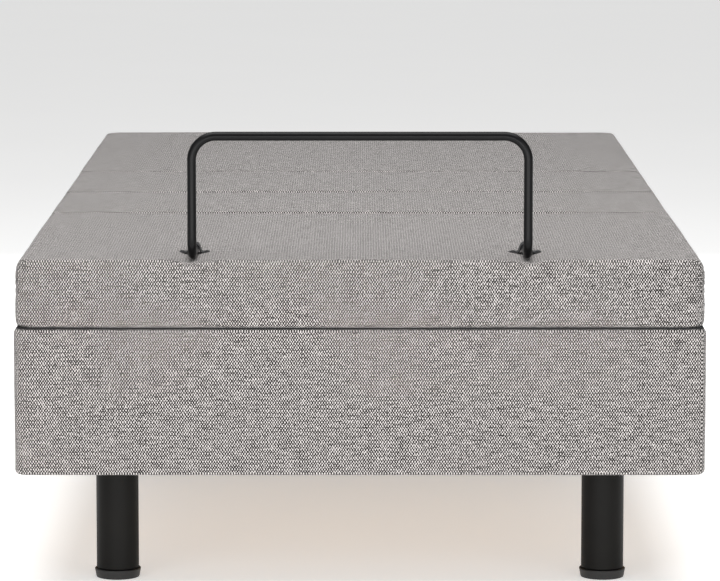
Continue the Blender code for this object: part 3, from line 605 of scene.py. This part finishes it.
def gap_painted_shade_sheet():
    """Black cloth taped over the rail tops and the cover's inner edge: painted shade, a dark sheet put
    in the gap where there is only shadow, to darken the line between the box and the deck."""
    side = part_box("box_cover_right")[1].x
    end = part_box("box_cover_head")[1].y
    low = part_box("box_cover_foot")[1].z + 0.1 * MM
    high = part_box("calf_pad")[0].z - 0.1 * MM
    verts = []
    faces = []
    count = 0
    profile = ((4 * MM, low), (5 * MM, high), (26 * MM, high), (28.5 * MM, low))
    for inset, height in profile:
        loop = wrapped_loop(side - inset, end - inset, max(BOX_CORNER - inset, 1 * MM), 60 * MM)
        count = len(loop)
        verts += [Vector((point.x, point.y, height)) for point, _ in loop]
    for ring in range(4):
        following = (ring + 1) % 4
        for index in range(count):
            beside = (index + 1) % count
            faces.append((ring * count + index, ring * count + beside,
                          following * count + beside, following * count + index))
    # Painted shade: a dark sheet in the box-to-deck gap, darkening the shadow line there.
    make("gap_painted_shade_sheet", verts, faces, PAINTED_SHADE_CLOTH, "base", smooth_angle=30)


gap_painted_shade_sheet()


# ---------------------------------------------------------------- legs and glides

def legs():
    for node in [name for name in NODES if name.startswith("leg_") and "member" not in name]:
        low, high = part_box(node)
        centre = Vector(((low.x + high.x) / 2, (low.y + high.y) / 2, 0))
        radius = (high.x - low.x) / 2
        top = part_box("box_cover_foot")[0].z
        edge = 1.2 * MM
        profile = [(radius - 4 * MM, low.z), (radius - edge, low.z)]
        profile += [(radius, low.z + edge), (radius, top - edge), (radius - edge, top), (6 * MM, top)]
        thread_radius = 5 * MM
        turns = 10
        for turn in range(turns):
            along = top + (high.z - top) * turn / turns
            pitch = (high.z - top) / turns
            profile += [(thread_radius - 0.8 * MM, along + 0.1 * pitch), (thread_radius, along + 0.5 * pitch),
                        (thread_radius - 0.8 * MM, along + 0.9 * pitch)]
        profile += [(thread_radius - 1.4 * MM, high.z)]
        verts, faces = lathe(profile, 72, centre)
        piece = make(node + "_turned", verts, faces, LEG_COAT, "base", smooth_angle=40)
        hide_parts(node)
        glide = node.replace("leg", "glide")
        foot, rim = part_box(glide)
        wide = (rim.x - foot.x) / 2
        tall = rim.z - foot.z
        narrow = wide - 2 * MM
        skirt = [(2 * MM, 0.6 * MM), (narrow * 0.55, 0.6 * MM), (narrow * 0.6, 0.0), (narrow - 1.6 * MM, 0.0)]
        skirt += [(narrow - 0.5 * MM, 0.4 * MM), (narrow, 1.6 * MM), (wide - 0.3 * MM, tall - 2.2 * MM),
                  (wide, tall - 1.5 * MM), (wide - 0.5 * MM, tall - 0.4 * MM), (wide - 1.4 * MM, tall),
                  (radius + 0.6 * MM, tall), (radius + 0.3 * MM, tall - 1 * MM), (2 * MM, tall - 1 * MM)]
        verts, faces = lathe(skirt, 72, centre)
        cup = make(glide + "_moulded", verts, faces, GLIDE_NYLON, "base", smooth_angle=40)
        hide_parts(glide)


legs()


# ---------------------------------------------------------------- retainer bar

def tube_along(points, radius, sides):
    """A round tube along a smooth route, with domed ends."""
    verts = []
    faces = []
    ahead = (points[1] - points[0]).normalized()
    across = ahead.orthogonal().normalized()
    rings = []
    dome = ((-radius * 0.6, 0.35), (-radius * 0.35, 0.75), (-radius * 0.1, 0.96))
    plan = [(points[0] + ahead * shift, scale, 0) for shift, scale in dome]
    plan += [(point, 1.0, index) for index, point in enumerate(points)]
    last_ahead = (points[-1] - points[-2]).normalized()
    plan += [(points[-1] - last_ahead * shift, scale, len(points) - 1)
             for shift, scale in reversed(dome)]
    for centre, scale, index in plan:
        before = points[max(index - 1, 0)]
        after = points[min(index + 1, len(points) - 1)]
        new_ahead = (after - before).normalized()
        across = ahead.rotation_difference(new_ahead) @ across
        ahead = new_ahead
        other = ahead.cross(across)
        rings.append(len(verts))
        for side in range(sides):
            angle = 2 * math.pi * side / sides
            verts.append(centre + (across * math.cos(angle) + other * math.sin(angle)) * radius * scale)
    for first, second in zip(rings, rings[1:]):
        for side in range(sides):
            beside = (side + 1) % sides
            faces.append((first + side, first + beside, second + beside, second + side))
    faces.append(tuple(range(sides)))
    faces.append(tuple(rings[-1] + side for side in range(sides)))
    return verts, faces


def bent(points, bends, steps=14):
    """A route with an arc of its own radius at each inner point."""
    route = [points[0]]
    for before, corner, after, bend in zip(points, points[1:], points[2:], bends):
        back = (before - corner).normalized()
        ahead = (after - corner).normalized()
        half = back.angle(ahead) / 2
        middle = corner + (back + ahead).normalized() * bend / math.sin(half)
        first = (corner + back * bend / math.tan(half) - middle).normalized()
        last = (corner + ahead * bend / math.tan(half) - middle).normalized()
        route += [middle + first.slerp(last, step / steps) * bend for step in range(steps + 1)]
    route.append(points[-1])
    return route


BAR_FOOT_BEND = 24 * MM
BAR_TOP_BEND = 33 * MM
STRAP_METAL = 2 * MM
STRAP_WING = 16 * MM
STRAP_STEPS = 16


def bar_strap(side_name):
    """A pressed steel saddle over the bar's foot, with round ends to its two wings."""
    node = "bar_strap_" + side_name
    low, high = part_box(node)
    centre = (low.x + high.x) / 2
    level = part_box("retainer_bar")[0].z + BAR_RADIUS - BAR_SINK
    bore = 6.4 * MM
    outer = bore + STRAP_METAL
    base = low.z - BAR_SINK
    over = [(centre + outer * math.cos(turn), level + outer * math.sin(turn))
            for turn in (math.pi * step / STRAP_STEPS for step in range(STRAP_STEPS + 1))]
    under = [(centre + bore * math.cos(turn), level + bore * math.sin(turn))
             for turn in (math.pi * step / STRAP_STEPS for step in range(STRAP_STEPS + 1))]
    wing = [outer + STRAP_WING * step / 8 for step in range(8, 0, -1)]
    upper = [(centre + reach, base + STRAP_METAL) for reach in wing] + over
    upper += [(centre - reach, base + STRAP_METAL) for reach in reversed(wing)]
    lower = [(centre + reach, base) for reach in wing] + under
    lower += [(centre - reach, base) for reach in reversed(wing)]
    half = (high.y - low.y) / 2
    middle = (high.y + low.y) / 2
    verts = []
    for across, up in upper + lower:
        beyond = max(0.0, abs(across - centre) - outer - STRAP_WING + half) / half
        reach = half * math.sqrt(max(0.04, 1 - beyond * beyond))
        verts += [Vector((across, middle - reach, up)), Vector((across, middle + reach, up))]
    count = len(upper)
    faces = []
    for index in range(count - 1):
        top = 2 * index
        bottom = 2 * (index + count)
        faces += [(top, top + 1, top + 3, top + 2), (bottom, bottom + 2, bottom + 3, bottom + 1),
                  (top, top + 2, bottom + 2, bottom), (top + 1, bottom + 1, bottom + 3, top + 3)]
    first, last = 2 * count, 2 * (2 * count - 1)
    faces += [(0, first, first + 1, 1), (2 * count - 2, 2 * count - 1, last + 1, last)]
    piece = make(node + "_pressed", verts, faces, FRAME_COAT, "calf_section",
                 smooth_angle=40)
    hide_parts(node)


for side_name in ("left", "right"):
    bar_strap(side_name)


def retainer_bar():
    low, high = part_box("retainer_bar")
    radius = BAR_RADIUS
    across = high.x - radius
    foot = low.z + radius - BAR_SINK
    top = high.z - radius
    front = low.y + radius
    rear = high.y - radius * 0.7
    half = ((rear, foot), (front, foot), (front, top))
    corners = [Vector((-across, along, up)) for along, up in half]
    corners += [Vector((across, along, up)) for along, up in reversed(half)]
    route = bent(corners, (BAR_FOOT_BEND, BAR_TOP_BEND, BAR_TOP_BEND, BAR_FOOT_BEND))
    verts, faces = tube_along(route, radius, 32)
    piece = make("retainer_bar_bent", verts, faces, BAR_COAT, "calf_section")
    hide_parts("retainer_bar")


retainer_bar()


# ---------------------------------------------------------------- screws and small hardware

def socket_screw(name, spot, axis, radius, body, finish=None):
    """A domed head with a hexagon socket sunk into it."""
    crown = 0.45 * radius
    dome = [(radius * math.cos(angle), crown * math.sin(angle))
            for angle in (math.pi / 2 * step / 8 for step in range(6))]
    socket = [(0.46 * radius, crown * 0.92), (0.44 * radius, crown * 0.86), (0.44 * radius, 0.05 * radius),
              (0.10 * radius, -0.02 * radius)]
    profile = [(radius, -0.2 * MM)] + dome + socket
    sunk = range(len(profile) - 4, len(profile) - 1)
    verts, faces = lathe(profile, 24, spot, axis, sunk)
    return make(name, verts, faces, finish or ZINC, body, smooth_angle=35)


def hexagon_bolt(name, spot, axis, radius, body):
    """A hexagon head with a chamfered crown, made in one with its washer."""
    flange = 1.35 * radius
    washer = 1.0 * MM
    head = washer + 0.65 * radius
    profile = [(flange, -0.2 * MM), (flange, washer - 0.2 * MM), (flange - 0.2 * MM, washer),
               (radius, washer), (radius, head - 0.12 * radius), (0.86 * radius, head), (0.2 * radius, head)]
    verts, faces = lathe(profile, 24, spot, axis, (3, 4))
    return make(name, verts, faces, ZINC, body, smooth_angle=35)


UP = Vector((0, 0, 1))
DOWN = Vector((0, 0, -1))
for side_name in ("left", "right"):
    low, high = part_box("bar_strap_" + side_name)
    for end_name, across in (("inner", low.x + 7 * MM), ("outer", high.x - 7 * MM)):
        spot = Vector((across, (low.y + high.y) / 2, low.z - BAR_SINK + STRAP_METAL))
        socket_screw(f"strap_screw_{side_name}_{end_name}", spot, UP, 4 * MM, "calf_section", FRAME_COAT)
for section in ("back", "thigh"):
    low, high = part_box(section + "_lift_bracket")
    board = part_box(section + "_board")
    inner_y = (board[0].y + 14 * MM, board[0].y + 46 * MM) if section == "back" else (
        board[1].y - 46 * MM, board[1].y - 14 * MM)
    for index, along in enumerate(inner_y):
        for end_name, across in (("a", low.x + 8 * MM), ("b", high.x - 8 * MM)):
            hexagon_bolt(f"{section}_bracket_bolt_{index}_{end_name}",
                         Vector((across, along, high.z - 4 * MM)), DOWN, 5 * MM, section + "_section")


PLATE = 2.5 * MM
PLATE_REACH = 40 * MM
PLATE_RISE = 36 * MM
PLATE_BEND = 3 * MM
BOLT_REACH = 28 * MM
BOLT_RADIUS = 4 * MM


def angle_plate(member, way):
    """A bent steel angle that bolts the end of a cross tube to the rail, with four bolts."""
    low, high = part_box(member)
    rail = "rail_core_right" if way > 0 else "rail_core_left"
    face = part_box(rail)[0].x if way > 0 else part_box(rail)[1].x
    wall = face - way * 0.2 * MM
    top = low.z + 30 * MM
    depth = high.y - low.y - 6 * MM
    middle = (low.y + high.y) / 2
    bend = [(wall - way * (PLATE + PLATE_BEND * (1 - math.sin(turn))),
             top + PLATE + PLATE_BEND * (1 - math.cos(turn)))
            for turn in (math.pi / 2 * step / 5 for step in range(6))]
    outline = [(wall, top + 0.1 * MM), (wall - way * PLATE_REACH, top + 0.1 * MM),
               (wall - way * PLATE_REACH, top + PLATE)] + bend
    outline += [(wall - way * PLATE, top + PLATE_RISE), (wall, top + PLATE_RISE)]
    verts = [Vector((across, middle + half, up)) for half in (-depth / 2, depth / 2)
             for across, up in outline]
    count = len(outline)
    faces = [tuple(range(count)), tuple(count + index for index in range(count))]
    faces += [(index, (index + 1) % count, count + (index + 1) % count, count + index)
              for index in range(count)]
    end = "right" if way > 0 else "left"
    make(f"{member}_angle_{end}", verts, faces, FRAME_COAT, "base", smooth_angle=30)
    for index, along in enumerate((middle - depth / 4, middle + depth / 4)):
        on_shelf = Vector((wall - way * BOLT_REACH, along, top + PLATE))
        on_rail = Vector((wall - way * PLATE, along, top + BOLT_REACH))
        inward = Vector((-way, 0, 0))
        hexagon_bolt(f"{member}_bolt_{end}_{index}", on_shelf, UP, BOLT_RADIUS, "base")
        hexagon_bolt(f"{member}_rail_bolt_{end}_{index}", on_rail, inward, BOLT_RADIUS, "base")


for member in ("leg_member_foot", "leg_member_middle", "leg_member_head", "back_motor_member",
               "thigh_motor_member"):
    for way in (-1, 1):
        angle_plate(member, way)


MOTOR_CAN_RADIUS = 26 * MM
JOINT_AXES = {joint["name"]: joint["axis"] for joint in frame["record"]["behaviour"]["joints"]}


def motor_can_cap(section):
    """The end cap of the drive motor, with three raised bands round the can behind it."""
    node = NODES[section + "_motor_housing"]
    axis = Vector(JOINT_AXES[section + "_rod_slide"]).normalized()
    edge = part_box(section + "_motor_housing")[1].x
    outer = [vert.co for vert in node.data.vertices if vert.co.x > edge - 0.5 * MM]
    anchor = Vector((edge - MOTOR_CAN_RADIUS, outer[0].y, outer[0].z))
    runs = [(point - anchor).dot(axis) for point in outer]
    near = anchor + axis * min(runs)
    long = max(runs) - min(runs)
    body = section + "_motor"
    wide = MOTOR_CAN_RADIUS
    cap = [(wide + 0.9 * MM, -13 * MM), (wide + 0.9 * MM, -1 * MM), (wide - 0.6 * MM, 0.8 * MM),
           (wide * 0.62, 1.2 * MM), (wide * 0.6, 0.5 * MM), (wide * 0.34, 0.5 * MM), (wide * 0.3, 1.6 * MM)]
    verts, faces = lathe(cap, 48, near + axis * long, axis)
    make(section + "_motor_cap", verts, faces, HOUSING_ABS, body, smooth_angle=35)
    for band in range(3):
        place = near + axis * (long - (24 + 9 * band) * MM)
        ring = [(wide - 0.5 * MM, -2.2 * MM), (wide + 0.7 * MM, -1.6 * MM), (wide + 0.7 * MM, 1.6 * MM),
                (wide - 0.5 * MM, 2.2 * MM)]
        verts, faces = lathe(ring, 48, place, axis)
        make(f"{section}_motor_band_{band}", verts, faces, HOUSING_ABS, body,
             smooth_angle=35)


for section in ("back", "thigh"):
    motor_can_cap(section)


def gland(name, spot, axis):
    """A tapered strain relief with moulded rings, where a lead enters its case."""
    rings = [(6.5 * MM, -0.3 * MM), (6.5 * MM, 2.5 * MM), (5.6 * MM, 3.2 * MM)]
    for ring in range(4):
        wide = (5.2 - 0.45 * ring) * MM
        along = (4.2 + 3.2 * ring) * MM
        rings += [(wide, along), (wide, along + 1.6 * MM), (wide - 0.7 * MM, along + 2.0 * MM),
                  (wide - 0.7 * MM, along + 2.8 * MM)]
    rings += [(3.2 * MM, 17.5 * MM)]
    verts, faces = lathe(rings, 28, spot, axis)
    make(name, verts, faces, LEAD_PVC, "base", smooth_angle=35)


control_low, control_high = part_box("control_box")
for section in ("back", "thigh"):
    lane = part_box(section + "_motor_lead")[0].x + 3 * MM
    gland(section + "_lead_gland", Vector((lane, control_low.y, (control_low.z + control_high.z) / 2)),
          Vector((0, -1, 0)))


# ---------------------------------------------------------------- stage, light and camera

FLOOR_HALF = 40.0
FLOOR_GLOW = 0.42


def stage():
    """A wide flat floor of back-lit acrylic: pale, matt and softly bright from every side."""
    corners = ((-1, -1), (1, -1), (1, 1), (-1, 1))
    mesh = bpy.data.meshes.new("studio_floor")
    mesh.from_pydata([(x * FLOOR_HALF, y * FLOOR_HALF, 0.0) for x, y in corners], [], [(0, 1, 2, 3)])
    floor = bpy.data.objects.new("studio_floor", mesh)
    bpy.context.scene.collection.objects.link(floor)
    sheet, tree, shader = start("acrylic_back_lit_matt", 0.9, emission_strength=FLOOR_GLOW,
                                emission_color=rgb(0xFFFFFF))
    place = add(tree, "TexCoord").outputs["Object"]
    cloud = add(tree, "TexNoise", {"Vector": place, "Scale": 1.5}).outputs["Fac"]
    tree.links.new(ramp(tree, cloud, ((0.0, 0xEFEFEE), (1.0, 0xF4F4F3))), shader.inputs["Base Color"])
    mesh.materials.append(sheet)


def area_light(name, place, target, size, power, in_gloss=True):
    lamp = bpy.data.lights.new(name, "AREA")
    lamp.shape = "RECTANGLE"
    lamp.size, lamp.size_y = size
    lamp.energy = power
    made = bpy.data.objects.new(name, lamp)
    made.location = place
    made.rotation_euler = (Vector(target) - Vector(place)).to_track_quat("-Z", "Y").to_euler()
    made.visible_camera = False
    made.visible_glossy = in_gloss
    bpy.context.scene.collection.objects.link(made)


def lights():
    world = bpy.data.worlds.new("studio_air")
    bpy.context.scene.world = world
    world.use_nodes = True
    back = world.node_tree.nodes["Background"]
    back.inputs["Color"].default_value = rgb(0xFFFFFF)
    back.inputs["Strength"].default_value = 0.35
    area_light("overhead_soft", (0.0, -0.9, 3.4), (0.0, -0.3, 0.3), (3.6, 3.0), 140)
    area_light("front_left_soft", (-2.4, -4.6, 1.9), (0.0, -0.9, 0.35), (2.2, 2.2), 28)
    area_light("front_right_soft", (2.8, -4.4, 1.5), (0.0, -0.9, 0.3), (2.2, 2.2), 25)
    area_light("floor_wash_rear", (0.0, 2.5, 0.9), (0.0, 0.9, 0.0), (3.6, 0.8), 22, False)
    area_light("floor_wash_front", (0.0, -3.2, 0.35), (0.0, -0.4, 0.0), (3.0, 0.5), 26)


CAMERA_DISTANCE = 5.6
CAMERA_HEIGHT = 1.120
CAMERA_PITCH = math.radians(7.175)
CAMERA_LENS = 207.1


def camera():
    foot_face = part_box("box_cover_foot")[0].y
    data = bpy.data.cameras.new("studio_camera")
    data.lens = CAMERA_LENS
    data.sensor_width = 36.0
    data.clip_end = 60.0
    made = bpy.data.objects.new("studio_camera", data)
    made.location = (0.0, foot_face - CAMERA_DISTANCE, CAMERA_HEIGHT)
    made.rotation_euler = (math.pi / 2 - CAMERA_PITCH, 0.0, 0.0)
    bpy.context.scene.collection.objects.link(made)
    bpy.context.scene.camera = made


stage()
lights()
camera()
bpy.context.scene.view_settings.view_transform = "Standard"
